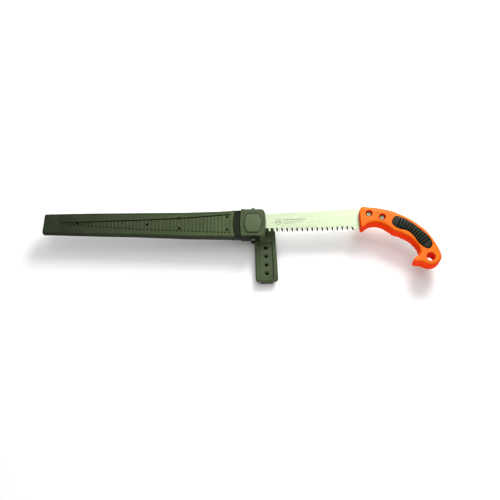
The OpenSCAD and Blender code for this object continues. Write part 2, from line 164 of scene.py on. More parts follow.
def edge_radius(loop, normals, largest, reach):
    """Radius of a moulded edge at each point: the largest, or less where the outline has no room for it."""
    room = steadied(room_inside(loop, normals), 2, True)
    return steadied([min(largest, 0.75 * r) for r in room], reach)


def smoothstep(x, low, high):
    t = min(max((x - low) / (high - low), 0.0), 1.0)
    return t * t * (3 - 2 * t)


def lookup(x, table):
    """Straight-line value in a list of (x, value)."""
    pts = sorted(table)
    if x <= pts[0][0]:
        return pts[0][1]
    for (x0, y0), (x1, y1) in zip(pts, pts[1:]):
        if x <= x1:
            return y0 + (y1 - y0) * (x - x0) / (x1 - x0)
    return pts[-1][1]


# ---------- meshes
def mesh_object(name, verts, faces):
    me = bpy.data.meshes.new(name)
    me.from_pydata([tuple(v) for v in verts], [], faces)
    me.update()
    o = bpy.data.objects.new(name, me)
    scene.collection.objects.link(o)
    return o


def ring_solid(name, rings):
    """Closed solid from rings of the same number of points, from the bottom up."""
    n = len(rings[0])
    verts = [p for ring in rings for p in ring]
    faces = [tuple(range(n - 1, -1, -1))]
    for k in range(len(rings) - 1):
        for i in range(n):
            j = (i + 1) % n
            faces.append((k * n + i, k * n + j, (k + 1) * n + j, (k + 1) * n + i))
    last = (len(rings) - 1) * n
    faces.append(tuple(last + i for i in range(n)))
    return mesh_object(name, verts, faces)


def drawn_in(loop, normals, insets):
    """The loop with each point drawn in along its normal."""
    return [(x - nx * i, y - ny * i) for (x, y), (nx, ny), i in zip(loop, normals, insets)]


def inset_ring(loop, normals, inset, z):
    """The loop at height z, drawn in evenly."""
    return [(x, y, z) for x, y in drawn_in(loop, normals, [inset] * len(loop))]


def prism(name, loop, low, high, top_inset=0.0):
    """Straight solid over a plane outline. A top inset below zero widens it towards the top."""
    loop = anticlockwise(loop)
    normals = outward(loop)
    return ring_solid(name, [inset_ring(loop, normals, 0.0, low), inset_ring(loop, normals, top_inset, high)])


def lathe(name, profile, x=0.0, y=0.0, steps=48, axis="Z"):
    """Solid of revolution. The profile is a list of (radius, height) from the bottom up."""
    rings = []
    for r, h in profile:
        ring = []
        for i in range(steps):
            a = 2 * math.pi * i / steps
            u, v = r * math.cos(a), r * math.sin(a)
            ring.append((x + u, y + v, h) if axis == "Z" else (x + u, h, y - v))
        rings.append(ring)
    return ring_solid(name, rings)


def box_solid(name, x0, y0, z0, x1, y1, z1):
    loop = [(x0, y0), (x1, y0), (x1, y1), (x0, y1)]
    return ring_solid(name, [[(x, y, z) for x, y in loop] for z in (z0, z1)])


def joined(name, objects):
    """One object of several, with every solid's faces turned outward."""
    bm = bmesh.new()
    for o in objects:
        bm.from_mesh(o.data)
    bmesh.ops.recalc_face_normals(bm, faces=bm.faces)
    me = bpy.data.meshes.new(name)
    bm.to_mesh(me)
    bm.free()
    for o in objects:
        bpy.data.objects.remove(o)
    made = bpy.data.objects.new(name, me)
    scene.collection.objects.link(made)
    return made


def apply_modifiers(o):
    graph = bpy.context.evaluated_depsgraph_get()
    made = bpy.data.meshes.new_from_object(o.evaluated_get(graph))
    o.modifiers.clear()
    o.data = made


def combine(o, others, operation, overlapping=False):
    """Exact boolean of a piece with other solids, which it uses up."""
    tool = joined(o.name + "_tool", others)
    mod = o.modifiers.new("combine", "BOOLEAN")
    mod.operation = operation
    mod.solver = "EXACT"
    mod.use_self = overlapping
    mod.object = tool
    apply_modifiers(o)
    bpy.data.objects.remove(tool)


def cut(o, cutters, overlapping=False):
    combine(o, cutters, "DIFFERENCE", overlapping)


def settle(o, matrix, body, nodes, materials, angle=34, choose=None, weighted=True):
    """Puts a piece in place, marks its creases, gives it its materials and tells the frame about it.

    choose takes a face's middle and normal, in the piece's own millimetres, and gives a material's index."""
    me = o.data
    me.materials.clear()
    for m in materials:
        me.materials.append(m)
    bm = bmesh.new()
    bm.from_mesh(me)
    bmesh.ops.remove_doubles(bm, verts=bm.verts, dist=1e-4)
    bmesh.ops.dissolve_degenerate(bm, edges=bm.edges, dist=1e-4)
    bmesh.ops.recalc_face_normals(bm, faces=bm.faces)
    for f in bm.faces:
        f.smooth = True
        f.material_index = choose(f.calc_center_median(), f.normal) if choose else 0
    for e in bm.edges:
        e.smooth = len(e.link_faces) == 2 and e.calc_face_angle(0.0) < math.radians(angle)
    bmesh.ops.transform(bm, matrix=matrix, verts=bm.verts)
    if matrix.determinant() < 0:
        bmesh.ops.reverse_faces(bm, faces=bm.faces)
    bm.to_mesh(me)
    bm.free()
    me.update()
    if weighted:
        evened = o.modifiers.new("even_normals", "WEIGHTED_NORMAL")
        evened.keep_sharp = True
    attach(o, body)
    if nodes:
        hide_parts(*nodes)
    return o


# ---------- materials
def colour(r, g, b):
    """From 0-255 sRGB to linear."""
    out = []
    for v in (r, g, b):
        v = v / 255
        out.append(v / 12.92 if v <= 0.04045 else ((v + 0.055) / 1.055) ** 2.4)
    return (*out, 1.0)


def scaled(tint, share):
    """The same hue, darker or lighter."""
    return tuple(min(1.0, c * share) for c in tint[:3]) + (1.0,)


class Nodes:
    """One material's node tree, around its principled shader."""

    def __init__(self, name):
        self.material = bpy.data.materials.new(name)
        self.material.use_nodes = True
        self.tree = self.material.node_tree
        self.shader = self.tree.nodes["Principled BSDF"]
        self.coords = self.tree.nodes.new("ShaderNodeTexCoord").outputs["Object"]

    def feed(self, socket, value):
        """Links another node's output to a socket, or sets the socket to a plain value."""
        if isinstance(value, bpy.types.NodeSocket):
            self.tree.links.new(value, socket)
        else:
            socket.default_value = value

    def add(self, kind, inputs, **settings):
        node = self.tree.nodes.new(kind)
        for key, value in settings.items():
            setattr(node, key, value)
        for key, value in inputs.items():
            self.feed(node.inputs[key], value)
        return node

    def noise(self, scale, stretch=(1, 1, 1), detail=4.0, turn=0.0):
        inputs = {"Scale": stretch, "Rotation": (0, 0, turn), "Vector": self.coords}
        place = self.add("ShaderNodeMapping", inputs)
        inputs = {"Scale": scale, "Detail": detail, "Roughness": 0.55, "Vector": place.outputs[0]}
        return self.add("ShaderNodeTexNoise", inputs).outputs["Fac"]

    def ramp(self, value, low, high, out_low=0.0, out_high=1.0):
        inputs = {"From Min": low, "From Max": high, "To Min": out_low, "To Max": out_high, "Value": value}
        return self.add("ShaderNodeMapRange", inputs, clamp=True).outputs[0]

    def mix(self, factor, a, b):
        return self.add("ShaderNodeMix", {0: factor, 6: a, 7: b}, data_type="RGBA").outputs[2]

    def math(self, operation, a, b):
        return self.add("ShaderNodeMath", {0: a, 1: b}, operation=operation).outputs[0]

    def hollows(self, distance):
        """Low in corners and grooves, high on open faces."""
        return self.add("ShaderNodeAmbientOcclusion", {"Distance": distance}, samples=6).outputs["AO"]

    def edges(self):
        return self.add("ShaderNodeNewGeometry", {}).outputs["Pointiness"]

    def finish(self, base, roughness, heights, metallic=0.0, specular=0.5):
        """Each of the heights is a texture, a bump strength and a bump distance."""
        normal = None
        for height, strength, distance in heights:
            inputs = {"Strength": strength, "Distance": distance, "Height": height}
            if normal is not None:
                inputs["Normal"] = normal
            normal = self.add("ShaderNodeBump", inputs).outputs[0]
        for key, value in (("Base Color", base), ("Roughness", roughness), ("Metallic", metallic),
                           ("Specular IOR Level", specular), ("Normal", normal)):
            self.feed(self.shader.inputs[key], value)
        return self.material


def plastic(name, base, deep, worn, rough=0.5, specular=0.4, grain=0.12, painted_tip_shade=None):
    """Moulded plastic: cloudy colour, fine grain, scuffs along its length, worn edges and painted shade in
    its hollows.

    The last argument is where along X a darker end starts to fade, where it is gone, and its colour: painted
    shade for light that falls off towards that end."""
    m = Nodes(name)
    cloud = m.ramp(m.noise(22.0, detail=3.0), 0.35, 0.68)
    body = m.mix(cloud, base, deep)
    # painted shade: darker towards one end along X
    if painted_tip_shade:
        start, end, dark = painted_tip_shade
        along = m.add("ShaderNodeSeparateXYZ", {0: m.coords})
        body = m.mix(m.ramp(along.outputs[0], start, end), dark, body)
        body = m.mix(m.math("MULTIPLY", cloud, 0.35), body, deep)
    scuffs = m.ramp(m.noise(60.0, (1.0, 16.0, 16.0), detail=6.0, turn=0.05), 0.66, 0.78, 0.0, 0.35)
    body = m.mix(scuffs, body, worn)
    edge = m.ramp(m.edges(), 0.52, 0.62, 0.0, 0.5)
    edge = m.math("MULTIPLY", edge, m.ramp(m.noise(150.0), 0.35, 0.6))
    body = m.mix(edge, body, worn)
    # painted shade: darker in corners and grooves, from the hollows node
    hollow_shade = m.ramp(m.hollows(0.003), 0.35, 0.9, 0.55, 0.0)
    body = m.mix(hollow_shade, body, scaled(deep, 0.18))
    uneven = m.ramp(m.noise(90.0), 0.3, 0.7, rough - 0.07, rough + 0.07)
    gloss = m.math("ADD", uneven, m.math("MULTIPLY", scuffs, 0.25))
    fine = m.noise(1500.0, detail=2.0)
    soft = m.noise(140.0, detail=2.0)
    return m.finish(body, gloss, [(fine, grain, 0.0002), (soft, grain * 0.7, 0.0004)], 0.0, specular)


def rubber(name, base, worn, rough=0.62, specular=0.35):
    """Soft grip rubber: cloudy colour, pale dust and painted shade in its hollows."""
    m = Nodes(name)
    cloud = m.ramp(m.noise(70.0), 0.35, 0.7)
    body = m.mix(cloud, base, worn)
    dust = m.ramp(m.noise(420.0, detail=5.0), 0.6, 0.8, 0.0, 0.4)
    body = m.mix(dust, body, scaled(worn, 2.2))
    # painted shade: darker in corners and grooves, from the hollows node
    hollow_shade = m.ramp(m.hollows(0.0025), 0.3, 0.95, 0.8, 0.0)
    body = m.mix(hollow_shade, body, scaled(base, 0.12))
    gloss = m.ramp(m.noise(160.0), 0.3, 0.7, rough - 0.1, rough + 0.1)
    return m.finish(body, gloss, [(m.noise(1100.0, detail=2.0), 0.2, 0.0002)], 0.0, specular)


def metal(name, base, deep, rough=0.3, brush=(1, 1, 1), metallic=1.0, turn=0.0, brush_scale=300.0, hollow_shade_strength=0.5):
    """Steel: brushed lines stretched by brush and turned, with small spots and painted shade in its hollows.
    """
    m = Nodes(name)
    cloud = m.ramp(m.noise(30.0, detail=5.0), 0.4, 0.75)
    body = m.mix(cloud, base, deep)
    lines = m.noise(brush_scale, brush, detail=5.0, turn=turn)
    body = m.mix(m.ramp(lines, 0.4, 0.75, 0.0, 0.35), body, deep)
    spots = m.ramp(m.noise(260.0, detail=6.0), 0.7, 0.8, 0.0, 0.3)
    body = m.mix(spots, body, scaled(deep, 0.4))
    # painted shade: darker in corners and grooves, as strong as the last argument
    hollow_shade = m.ramp(m.hollows(0.002), 0.3, 0.95, hollow_shade_strength, 0.0)
    body = m.mix(hollow_shade, body, scaled(deep, 0.25))
    gloss = m.ramp(lines, 0.3, 0.7, rough - 0.06, rough + 0.1)
    return m.finish(body, gloss, [(lines, 0.08, 0.0002), (m.noise(900.0), 0.03, 0.0001)], metallic)


# The scabbard's olive turns darker towards the tip: painted shade for light that falls off towards it.
OLIVE = plastic("scabbard_olive", colour(71, 84, 52), colour(60, 72, 43), colour(98, 110, 82), 0.47, 0.12,
                painted_tip_shade=(-0.33, 0.01, colour(22, 29, 12)))
# A dark copy of the olive for side faces and recess floors: painted shade.
OLIVE_SIDE_SHADE = plastic("olive_side_painted_shade", colour(24, 29, 17), colour(18, 22, 12), colour(44, 50, 34), 0.5, 0.1)
CAP = plastic("cap_olive", colour(66, 79, 51), colour(55, 67, 42), colour(118, 132, 100), 0.45, 0.16)
# The pad's own olive, also used as a painted highlight on the cap's left band and on the front axle's end
# button.
PAD_OLIVE_AND_HIGHLIGHT = plastic("pad_olive_and_painted_highlight", colour(72, 85, 54), colour(63, 76, 46), colour(118, 132, 98), 0.42, 0.2)
HANGER = plastic("hanger_olive", colour(70, 82, 53), colour(57, 68, 42), colour(112, 125, 94), 0.46, 0.18)
DARK = plastic("dark_olive", colour(20, 29, 14), colour(14, 21, 10), colour(44, 54, 34), 0.5, 0.08)
# Two copies of one orange: the lighter one for the handle's faces, and a deeper one for its sides, which is
# painted shade.
ORANGE = plastic("handle_orange", colour(222, 104, 12), colour(214, 94, 10), colour(238, 130, 44), 0.42, 0.12,
                 0.08)
HANDLE_SIDE_SHADE = plastic("handle_side_painted_shade", colour(243, 60, 3), colour(234, 50, 2), colour(250, 84, 14), 0.6, 0.02, 0.06)
RUBBER = rubber("grip_rubber", colour(17, 23, 10), colour(25, 33, 16), 0.36, 0.14)
# A darker copy of the grip rubber for the rib grooves and the low sides: painted shade.
RUBBER_GROOVE_SHADE = rubber("grip_rubber_groove_shade", colour(7, 9, 4), colour(12, 14, 7), 0.8, 0.02)
ROLLER = rubber("roller_rubber", colour(30, 31, 29), colour(46, 47, 44))
BLADE = metal("blade_steel", colour(160, 171, 143), colour(154, 165, 137), 0.28, (1.0, 30.0, 30.0), 0.9,
              math.radians(-SAW_TILT), 60.0, 0.25)
# A dark steel for the teeth's ground bevels: painted shade.
BEVEL = metal("tooth_bevel_painted_shade", colour(40, 44, 32), colour(22, 26, 15), 0.4, (20.0, 1.0, 1.0), 0.5)
STEEL = metal("bolt_steel", colour(146, 150, 130), colour(118, 122, 104), 0.32)
PIN = metal("pin_steel", colour(112, 120, 86), colour(84, 92, 62), 0.45, metallic=0.6)
ETCH = metal("etched_grey", colour(104, 118, 110), colour(92, 104, 98), 0.5, metallic=0.4)


# ---------- the handle
HANDLE = [
    (0.4, 0), (1.1, 10), (4, 15.4), (10, 17.2), (28, 15.7), (48, 10.8), (62, 5.8), (82, -5), (100, -19.2),
    (111, -31), (119.5, -44.8), (126.3, -61.2), (128.9, -71.5), (126.9, -79.6), (120.5, -86.2),
    (112.5, -89.3), (103.5, -88), (94.5, -83.8), (86.8, -82.2), (82.6, -79.3), (84.6, -75.8), (90.2, -71.7),
    (94, -65.5), (91.5, -56.5), (85.5, -47.5), (79.5, -41), (70, -35.2), (62, -30.8), (55.5, -28.8),
    (46, -21.5), (36.5, -15), (27, -12.2), (17, -13), (11, -15.4), (6.4, -18.6), (2.6, -18.9), (0.8, -14)]
INLAY = [
    (52.6, -13.5), (55.8, -6.7), (61.5, -3.3), (72.5, -7.8), (83.3, -14.8), (93.8, -24), (104.3, -34),
    (111.6, -43), (114.6, -53), (110.3, -60.4), (103.1, -59.8), (93.5, -51.4), (87.5, -41), (80.7, -32.4),
    (73, -27.6), (64.5, -25.3), (56.1, -20.2)]
HANDLE_HALF = 14.5
BOLTS = [(16.1, 4), (37.5, -2.9)]
BOLT_HOLE = 2.55
HANG_HOLE = (110.4, -75.4)
HANDLE_SCREW = (99.5, -71)
SEAM = 0.22                   # bevel along the seam between the two halves
STEP_PITCH = 5.4              # steps along the back of the grip
STEP_DEPTH = 1.35
STEP_RISE = 0.78              # share of a step that rises slowly
BUMP_PITCH = 7.2              # bumps under the fingers
BUMP_DEPTH = 1.7
DIAGONAL = 0.7071             # the grip runs down to the right at about 45 degrees


def grip_ripple(x, y, nx, ny):
    """How far the edge is drawn in: by steps along the back of the grip, and by bumps under the fingers."""
    along = (x - y) * DIAGONAL
    back = smoothstep(x, 56, 64) * (1 - smoothstep(x, 119, 125)) * smoothstep(nx + ny, 0.5, 0.9)
    step = (along / STEP_PITCH) % 1.0
    saw = STEP_DEPTH * (step if step < STEP_RISE else (1 - step) / (1 - STEP_RISE) * STEP_RISE)
    front = smoothstep(x, 36, 44) * smoothstep(-y, 14, 20)
    front *= (1 - smoothstep(-y, 52, 60)) * smoothstep(-nx - ny, 0.5, 0.9)
    wave = 0.5 * (1 - math.cos(2 * math.pi * along / BUMP_PITCH))
    return back * saw, front * BUMP_DEPTH * wave


def handle_rings():
    """Half the handle, from the seam up: rounder along its back than along its belly."""
    loop = even(anticlockwise(curve(HANDLE, 10, True)), 0.62)
    normals = outward(loop, 3)
    room = steadied(steadied(room_inside(loop, normals), 4, True), 4)
    radius = []
    for (x, y), (nx, ny), r in zip(loop, normals, room):
        wanted = 5.0 + 4.2 * smoothstep(0.45 * nx + 0.89 * ny, -0.1, 0.75)
        wanted -= 2.2 * (1 - smoothstep(x, 0, 10))
        radius.append(min(wanted, 0.8 * r))
    radius = steadied(radius, 9)
    ripple = [grip_ripple(x, y, nx, ny) for (x, y), (nx, ny) in zip(loop, normals)]
    rings = []

    def ring(heights, insets, back_share=1, front_share=1):
        draws = [i + back * back_share + front * front_share for i, (back, front) in zip(insets, ripple)]
        rings.append([(x, y, z) for (x, y), z in zip(drawn_in(loop, normals, draws), heights)])
    none = [0.0] * len(loop)
    seam = [SEAM] * len(loop)
    ring(none, seam)
    ring(seam, none)
    for part in (0.25, 0.5, 0.75, 1.0):
        ring([part * (HANDLE_HALF - r) + (1 - part) * SEAM for r in radius], none)
    for k in range(1, 10):
        a = math.radians(10 * k)
        ring([HANDLE_HALF - r * (1 - math.sin(a)) for r in radius], [r * (1 - math.cos(a)) for r in radius],
             1 - smoothstep(k, 1, 7), 1 - smoothstep(k, 0, 5))
    return rings


def handle_shell(name, node, matrix, back):
    o = ring_solid(name, handle_rings())
    tools = [prism("pocket", curve(INLAY, 6, True), HANDLE_HALF - 2.4, HANDLE_HALF + 1.4, -1.0)]
    for x, y in BOLTS:
        tools.append(lathe("recess", [(5.2, 7.0), (5.4, 13.2), (5.6, 14.0), (6.2, 14.6), (6.9, 15.1)], x, y))
    hole = [(7.3, -1), (7.0, 0.3), (7.0, 12.8), (7.2, 13.7), (7.8, 14.4), (8.6, 15.0)]
    tools.append(lathe("hang_hole", hole, *HANG_HOLE, 56))
    cut(o, tools)
    if back:
        cut(o, [lathe("screw_seat", [(3.2, 8.0), (3.2, 15.0)], *HANDLE_SCREW)])
    cut(o, [prism("blade_way", [(-3, -22), (3.2, -22), (3.2, 21), (-3, 21)], -1, 0.85)])
    cut(o, [prism("tang_way", [(-3, -10.3), (3.2, -10.3), (44.5, -12), (50.4, -7.8), (48.5, 2.6), (40.6, 6.2),
                               (3.2, 12.4), (-3, 12.4)], -1, 0.8)])
    for x, y in BOLTS:
        cut(o, [lathe("bolt_way", [(2.6, -1), (2.6, 8)], x, y)])

    def choose(middle, normal):
        # side faces take the deeper orange: painted shade
        return 1 if abs(normal.z) < 0.62 else 0
    return settle(o, matrix, "saw", [node], [ORANGE, HANDLE_SIDE_SHADE], choose=choose)


handle_shell("handle_front", "handle_front_shell", SAW, False)
handle_shell("handle_back", "handle_back_shell", SAW_BACK, True)

SPINE = [(60.5, -11.8), (68, -15.2), (76, -19.2), (84, -24.6), (91.5, -31.6), (98.5, -40), (104, -48),
         (107.5, -53.4)]
SPINE_STEP = 0.5
RIB_COUNT = 12
RIB_START = 4.5
RIB_SPACING = 4.95
RIB_FLOOR = [(-13, -2.0), (-8.5, -1.5), (-4, -0.8), (0, -0.5), (4, -0.8), (8.5, -1.5), (13, -2.0),
             (13, 3), (-13, 3)]
INLAY_GAP = 0.12


def rib_groove(x, y, tx, ty):
    """Cutter across the grip: shallow in the middle, deep at both edges, wider at its mouth."""
    def side(sign):
        out = []
        for v, rise in RIB_FLOOR:
            u = sign * (0.62 + 0.16 * (min(rise, 1.5) + 2.0))
            out.append((x + tx * u - ty * v, y + ty * u + tx * v, HANDLE_HALF + rise))
        return out
    return ring_solid("rib_groove", [side(-1), side(1)])


def grip_inlay(name, node, matrix):
    """Soft grip: a smooth dome in front, then cross ribs that run over both of its edges."""
    loop = even(anticlockwise(curve(INLAY, 10, True)), 0.5)
    normals = outward(loop, 2)
    room = steadied(steadied(room_inside(loop, normals), 3, True), 3)
    edge = HANDLE_HALF - 0.5
    rings = [inset_ring(loop, normals, INLAY_GAP, z) for z in (HANDLE_HALF - 2.3, edge)]
    for k in range(1, 9):
        a = math.radians(90 * k / 8)
        points = drawn_in(loop, normals, [INLAY_GAP + 0.75 * r * (1 - math.cos(a)) for r in room])
        rings.append([(x, y, edge + 1.3 * math.sin(a)) for x, y in points])
    o = ring_solid(name, rings)
    spine = even(curve(SPINE, 8), SPINE_STEP, False)
    tools = []
    for i in range(RIB_COUNT):
        k = round((RIB_START + RIB_SPACING * i) / SPINE_STEP)
        (ax, ay), (x, y), (bx, by) = spine[k - 4], spine[k], spine[min(k + 4, len(spine) - 1)]
        length = math.hypot(bx - ax, by - ay)
        tools.append(rib_groove(x, y, (bx - ax) / length, (by - ay) / length))
    cut(o, tools, True)

    def choose(middle, normal):
        # faces below the dome's edge, in the grooves and on the sides, take the darker rubber: painted shade
        return 1 if middle.z < edge + 0.55 else 0
    return settle(o, matrix, "saw", [node], [RUBBER, RUBBER_GROOVE_SHADE], 40, choose=choose)


grip_inlay("grip_front", "grip_inlay_front", SAW)
grip_inlay("grip_back", "grip_inlay_back", SAW_BACK)

BOLT_PROFILE = [(2.5, -10.0), (2.5, 7.05), (3.3, 7.06), (3.4, 7.2), (3.4, 9.0), (3.15, 9.5), (2.7, 9.7)]
for number, (x, y) in enumerate(BOLTS, 1):
    bolt = lathe("blade_bolt_%d" % number, BOLT_PROFILE, x, y)
    cut(bolt, [lathe("socket", [(1.4, 8.2), (1.7, 9.3), (2.1, 10)], x, y, 6)])
    settle(bolt, SAW, "saw", ["blade_bolts"], [STEEL], 30)

# ---------- the blade
BLADE_HALF = 0.75
TOOTH_PITCH = 4.15
TOOTH_HEIGHT = 4.8
TOOTH_COUNT = 76
FIRST_TOOTH = -325
TOOTH_LEAN = 0.56             # where along its pitch a tooth's tip is
GRIND_WIDTH = 2.3             # of the bevel on each edge of a tooth
GRIND_DEPTH = 1.2
BACK_EDGE = [(3, 18), (-50, 16.9), (-100, 16.0), (-200, 15.2), (-316, 13.5)]
TOOTH_LINE = [(-328, -3), (-260, -8.4), (-200, -13.2), (-155, -16.4), (-110, -18.1), (-60, -19.1), (0, -18.9)]
BEVEL_LIMIT = [(-330, 6), (-100, -8), (0, -11)]     # only slanted faces below this line are bevels


def bolt_holes():
    return [lathe("bolt_hole", [(BOLT_HOLE, -2), (BOLT_HOLE, 2)], x, y, 32) for x, y in BOLTS]


def grinder(valley, tip, middle_x, side):
    """Wedge that grinds one edge of a tooth, from a valley to its tip, on the side that is given."""
    (ex, ey), (tx, ty) = valley, tip
    length = math.hypot(tx - ex, ty - ey)
    ux, uy = (tx - ex) / length, (ty - ey) / length
    vx, vy = (-uy, ux) if -uy * (middle_x - ex) > 0 else (uy, -ux)
    ends = [(ex - ux * 1.6, ey - uy * 1.6), (tx + ux * 1.2, ty + uy * 1.2)]
    outside = 0.6
    low = BLADE_HALF - GRIND_DEPTH / GRIND_WIDTH * (GRIND_WIDTH + outside)
    verts = []
    for z_outside, z_inside in ((low, BLADE_HALF + 0.001), (1.4, 1.4)):
        for end, across, z in ((0, -outside, z_outside), (1, -outside, z_outside),
                               (1, GRIND_WIDTH, z_inside), (0, GRIND_WIDTH, z_inside)):
            verts.append((ends[end][0] + vx * across, ends[end][1] + vy * across, z * side))
    faces = [(0, 1, 2, 3), (7, 6, 5, 4), (0, 4, 5, 1), (1, 5, 6, 2), (2, 6, 7, 3), (3, 7, 4, 0)]
    return mesh_object("grinder", verts, faces)


def saw_blade():
    tip_line = curve(TOOTH_LINE, 6)
    teeth = []
    for i in range(TOOTH_COUNT):
        x = FIRST_TOOTH + i * TOOTH_PITCH
        tip = x + TOOTH_LEAN * TOOTH_PITCH
        teeth.append(((x, lookup(x, tip_line) + TOOTH_HEIGHT), (tip, lookup(tip, tip_line))))
    outline = curve(BACK_EDGE, 4) + [(-327, 9), (-330, 2)]
    outline += [p for pair in teeth for p in pair] + [(-4, -18.4), (3, -15)]
    o = prism("saw_blade_plate", outline, -BLADE_HALF, BLADE_HALF)
    # each tooth is ground on one face, and its neighbour on the other
    tools = []
    for i, ((x, y), tip) in enumerate(teeth):
        side = 1 if i % 2 else -1
        next_x = x + TOOTH_PITCH
        tools.append(grinder((x, y), tip, (x + next_x) / 2, side))
        if i < TOOTH_COUNT - 1:
            next_y = lookup(next_x, tip_line) + TOOTH_HEIGHT
            tools.append(grinder((next_x, next_y), tip, (x + next_x) / 2, side))
    cut(o, tools, True)
    cut(o, bolt_holes())

    def choose(middle, normal):
        # slanted bevel faces below the tooth line take the dark steel: painted shade
        return 1 if 0.2 < abs(normal.z) < 0.97 and middle.y < lookup(middle.x, BEVEL_LIMIT) else 0
    return settle(o, SAW, "saw", ["saw_blade"], [BLADE, BEVEL], 12, choose=choose)


def saw_tang():
    outline = [(-2, -9.4), (44, -11.5), (50, -7.5), (48, 2), (40, 5.5), (-2, 12)]
    tang = prism("saw_tang", outline, 0.02 - BLADE_HALF, BLADE_HALF - 0.02)
    cut(tang, bolt_holes())
    return settle(tang, SAW, "saw", None, [BLADE], 20)


def etched_mark():
    """A plain ring with an arrow for the pulling stroke, and three plain lines."""
    x, y = -133.5, 0.4
    low, high = BLADE_HALF, BLADE_HALF + 0.02
    ring = lathe("ring", [(5.0, low), (5.0, high)], x, y, 40)
    cut(ring, [lathe("inner", [(4.1, low - 0.05), (4.1, high + 0.13)], x, y, 40)])
    arrow = [(-2.9, -0.8), (0.9, -0.8), (0.9, -2.0), (3.1, 0), (0.9, 2.0), (0.9, 0.8), (-2.9, 0.8)]
    marks = [ring, prism("arrow", [(x + u, y + v) for u, v in arrow], low, high)]
    for x0, x1, y0, wide in ((-125, -88, 3.0, 1.3), (-125, -94, -0.6, 0.7), (-125, -106, -3.0, 0.7)):
        marks.append(box_solid("line", x0, y0, low, x1, y0 + wide, high))
    mark = joined("etched_mark_front", marks)
    return settle(mark, SAW, "saw", None, [ETCH], 20, weighted=False)


saw_blade()
saw_tang()
etched_mark()

# ---------- the scabbard
TIP_X = -369.0
TOP_EDGE = [(-362.5, 17.4), (-289, 18.5), (-210, 18.8), (-131, 19), (-78, 20.5), (-45, 22.3)]
LOW_EDGE = [(-366, -16.6), (-289, -18.6), (-210, -20.2), (-131, -23.1), (-78, -23.8), (-45, -24.5)]
END_HIGH = 22.1               # corners at the waist
END_LOW = -24.3
TIP_CORNERS = [(-365.2, 15.6), (-367.5, -15.2)]
WAIST_BOW = (29.0, -2.0, 82.0)      # middle and radius of the arc that ends the shell
CAP_BOW = (73.4, 0.0, 116.0)        # and of the one that starts the cap
SCREWS = [(-356, 0), (-250, 14.6), (-165, 16.1)]
DRAINS = [(-310, 0.4), (-195, -2.2), (-142, 8.6), (-141.5, -9.5), (-63, 9.8), (-63.2, -12)]
FIELD_TOP = [(-339, 1.6), (-223, 4.8), (-147, 7.9), (-110, 10.3), (-58, 14.4)]
FIELD_LOW = [(-306, -3.1), (-253, -7.9), (-194, -12), (-116, -15.1), (-58, -17.7)]
FIELD_RIGHT = -58
RIB_PITCH = 6.1
RIB_SHARE = 0.55
RIB_LENGTH = 266
WALL = 3.0
FACE_WALL = 2.0


def shell_half(x):
    """Half the scabbard's thickness, which grows from the tip to the waist."""
    return 6 + 4 * (x - TIP_X) / 316


def bow_x(bow, y):
    return bow[0] - math.sqrt(bow[2] ** 2 - (y - bow[1]) ** 2)


def between(start, end, steps):
    return [start + (end - start) * k / steps for k in range(steps + 1)]


def shell_loop(inset=0.0, end=None):
    """Outline of a shell, or of its hollow, which is drawn in and ends short of the waist."""
    top = [(max(x, TOP_EDGE[0][0] + inset), y - inset) for x, y in TOP_EDGE[:-1]]
    low = [(max(x, LOW_EDGE[0][0] + inset), y + inset) for x, y in LOW_EDGE[:-1]]
    if end is None:
        right = [(bow_x(WAIST_BOW, y), y) for y in between(END_LOW, END_HIGH, 24)]
        spacing = 0.8
    else:
        right = [(end, lookup(end, LOW_EDGE) + inset), (end, lookup(end, TOP_EDGE) - inset)]
        spacing = 6.0
    (high_x, high_y), (low_x, low_y) = TIP_CORNERS
    left = [(high_x + inset, high_y - inset), (low_x + inset, low_y + inset)]
    return even(low + right + top[::-1] + left, spacing)


def face_groove(name, line, depth):
    """Cutter for a groove in the sloping face, along a line of (x, y, half width)."""
    strip = anticlockwise([(x, y + w) for x, y, w in line] + [(x, y - w) for x, y, w in line[::-1]])
    return ring_solid(name, [[(x, y, shell_half(x) - depth) for x, y in strip],
                             [(x, y, shell_half(x) + 2.0) for x, y in strip]])


def rib_slots():
    """Cutters between the ribs, each with a deeper pit at its lower end."""
    tools = []
    for i in range(int(RIB_LENGTH / RIB_PITCH) + 1):
        right = FIELD_RIGHT - RIB_PITCH * i
        left = right - RIB_PITCH * RIB_SHARE
        x = (left + right) / 2
        top, low = lookup(x, FIELD_TOP) - 0.9, lookup(x, FIELD_LOW)
        if top - low < 1.2:
            continue
        z = shell_half(x)
        tools.append(box_solid("slot", left, low, z - 1.1, right, top, z + 1.6))
        tools.append(box_solid("pit", left + 0.35, low - 0.9, z - 1.85, right - 0.1, low + 1.7, z + 1.5))
    return tools


def front_details(o):
    """Ribs, two lines along the upper edge and the drain holes."""
    cut(o, rib_slots(), True)
    upper = even(curve(FIELD_TOP, 6), 8.0, False)
    upper = [(x, y, 0.55 + 0.5 * smoothstep(x, -330, -250)) for x, y in upper]
    cut(o, [face_groove("field_edge", upper, 1.7)])
    rim = even(curve([(x, y - 3.5) for x, y in TOP_EDGE[:-1]] + [(-59, 17.4)], 4), 8.0, False)
    cut(o, [face_groove("edge_line", [(x, y, 0.3) for x, y in rim], 0.4)])
    drains = []
    for x, y in DRAINS:
        z = shell_half(x)
        drains.append(lathe("drain", [(1.95, 1.0), (2.0, z - 0.7), (2.5, z + 0.1), (2.9, z + 1.2)], x, y, 32))
    cut(o, drains)


def screw_seats(o):
    seats = []
    for x, y in SCREWS:
        z = shell_half(x)
        seats.append(lathe("screw_seat", [(2.6, z - 1.6), (2.6, z - 0.2), (3.0, z + 0.6)], x, y, 32))
    cut(o, seats)


